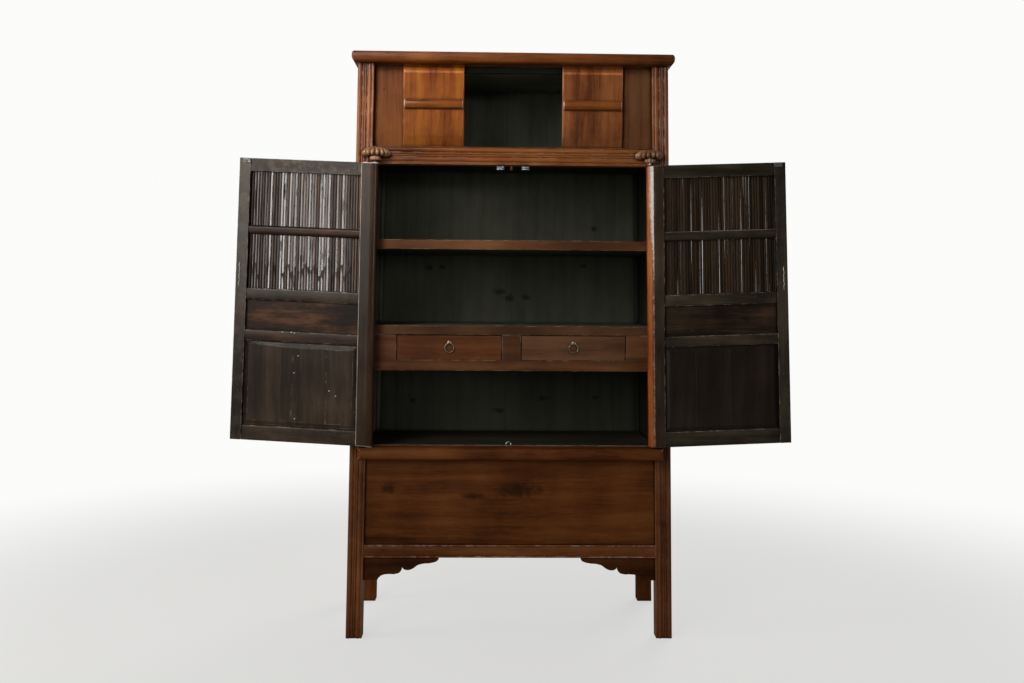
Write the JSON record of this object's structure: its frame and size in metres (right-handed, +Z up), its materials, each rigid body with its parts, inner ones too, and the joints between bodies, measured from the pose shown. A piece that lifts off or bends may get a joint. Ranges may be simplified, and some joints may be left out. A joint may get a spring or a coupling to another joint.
{
  "type": "tapered two-door cupboard",
  "caption": "Tapered wooden cupboard on splayed reeded posts, with pivoting bamboo-grille doors, a sliding-door top compartment, open shelves, inner drawers with ring pulls and a cut-out apron.",
  "frame": {"origin": "on the floor under the centre of the box round everything as it stands, doors open", "axes": "+Z up, -Y to the front, +X to the right as seen from the front"},
  "size_m": [1.7068, 0.517, 1.78],
  "materials": {
    "red_lacquer": "worn red-brown lacquer",
    "dark_wood": "dark stained, dull",
    "orange_wood": "polished orange-brown",
    "panel_wood": "dark red-brown lacquer",
    "door_wood": "dark stained, satin",
    "bamboo": "dark glossy bamboo",
    "brass": "aged",
    "catch_steel": "plated"
  },
  "bodies": {
    "cupboard": {"post_front_left": "red_lacquer", "post_front_right": "red_lacquer", "post_rear_left": "red_lacquer", "post_rear_right": "red_lacquer", "top_board": "red_lacquer", "top_track_rail": "red_lacquer", "waist_rail": "red_lacquer", "door_sill": "red_lacquer", "apron_rail": "red_lacquer", "front_lower_panel": "panel_wood", "spandrel_left": "red_lacquer", "spandrel_right": "red_lacquer", "side_panel_left": "red_lacquer", "side_panel_right": "red_lacquer", "rear_rail": "red_lacquer", "back_panel": "dark_wood", "upper_floor": "dark_wood", "middle_shelf": "dark_wood", "drawer_case_top": "dark_wood", "drawer_case_floor": "dark_wood", "main_floor": "dark_wood", "store_floor": "dark_wood", "fixed_panel_left": "orange_wood", "fixed_panel_right": "orange_wood", "pivot_block_left": "red_lacquer", "pivot_block_right": "red_lacquer", "magnet_catch_left": "catch_steel", "magnet_catch_right": "catch_steel"},
    "door_left": {"door_left_hinge_stile": "door_wood", "door_left_meeting_stile": "door_wood", "door_left_top_rail": "door_wood", "door_left_grille_rail": "door_wood", "door_left_panel_rail": "door_wood", "door_left_bottom_rail": "door_wood", "door_left_grille": "bamboo", "door_left_small_panel": "door_wood", "door_left_lower_panel": "door_wood", "door_left_strike_plate": "catch_steel", "door_left_eye": "brass"},
    "door_right": {"door_right_hinge_stile": "door_wood", "door_right_meeting_stile": "door_wood", "door_right_top_rail": "door_wood", "door_right_grille_rail": "door_wood", "door_right_panel_rail": "door_wood", "door_right_bottom_rail": "door_wood", "door_right_grille": "bamboo", "door_right_small_panel": "door_wood", "door_right_lower_panel": "door_wood", "door_right_strike_plate": "catch_steel", "door_right_eye": "brass"},
    "sliding_door_left": {"sliding_panel_left": "orange_wood", "sliding_batten_left": "orange_wood"},
    "sliding_door_right": {"sliding_panel_right": "orange_wood", "sliding_batten_right": "orange_wood"},
    "drawer_left": {"drawer_left": "dark_wood", "drawer_left_eye": "brass"},
    "ring_left": {"drawer_left_ring": "brass"},
    "drawer_right": {"drawer_right": "dark_wood", "drawer_right_eye": "brass"},
    "ring_right": {"drawer_right_ring": "brass"}
  },
  "joints": [
    {"name": "door_left_pivot", "type": "hinge", "parent": "cupboard", "child": "door_left", "pos_m": [-0.42953, -0.2355, 0.5956], "axis": [-0.0199, 0, -0.9998], "range_deg": [-185.5, 1.5]},
    {"name": "door_right_pivot", "type": "hinge", "parent": "cupboard", "child": "door_right", "pos_m": [0.42877, -0.2355, 0.5956], "axis": [-0.0199, 0, 0.9998], "range_deg": [-181.5, 5.5]},
    {"name": "sliding_door_left_slide", "type": "slide", "parent": "cupboard", "child": "sliding_door_left", "axis": [-1, 0, 0], "range_m": [-0.147, 0.08]},
    {"name": "sliding_door_right_slide", "type": "slide", "parent": "cupboard", "child": "sliding_door_right", "axis": [1, 0, 0], "range_m": [-0.147, 0.08]},
    {"name": "drawer_left_slide", "type": "slide", "parent": "cupboard", "child": "drawer_left", "axis": [0, -1, 0], "range_m": [0, 0.25]},
    {"name": "drawer_left_ring_swing", "type": "hinge", "parent": "drawer_left", "child": "ring_left", "pos_m": [-0.18988, -0.2051, 0.90705], "axis": [-1, 0, 0], "range_deg": [0, 95]},
    {"name": "drawer_right_slide", "type": "slide", "parent": "cupboard", "child": "drawer_right", "axis": [0, -1, 0], "range_m": [0, 0.25]},
    {"name": "drawer_right_ring_swing", "type": "hinge", "parent": "drawer_right", "child": "ring_right", "pos_m": [0.18912, -0.2051, 0.90705], "axis": [-1, 0, 0], "range_deg": [0, 95]}
  ]
}
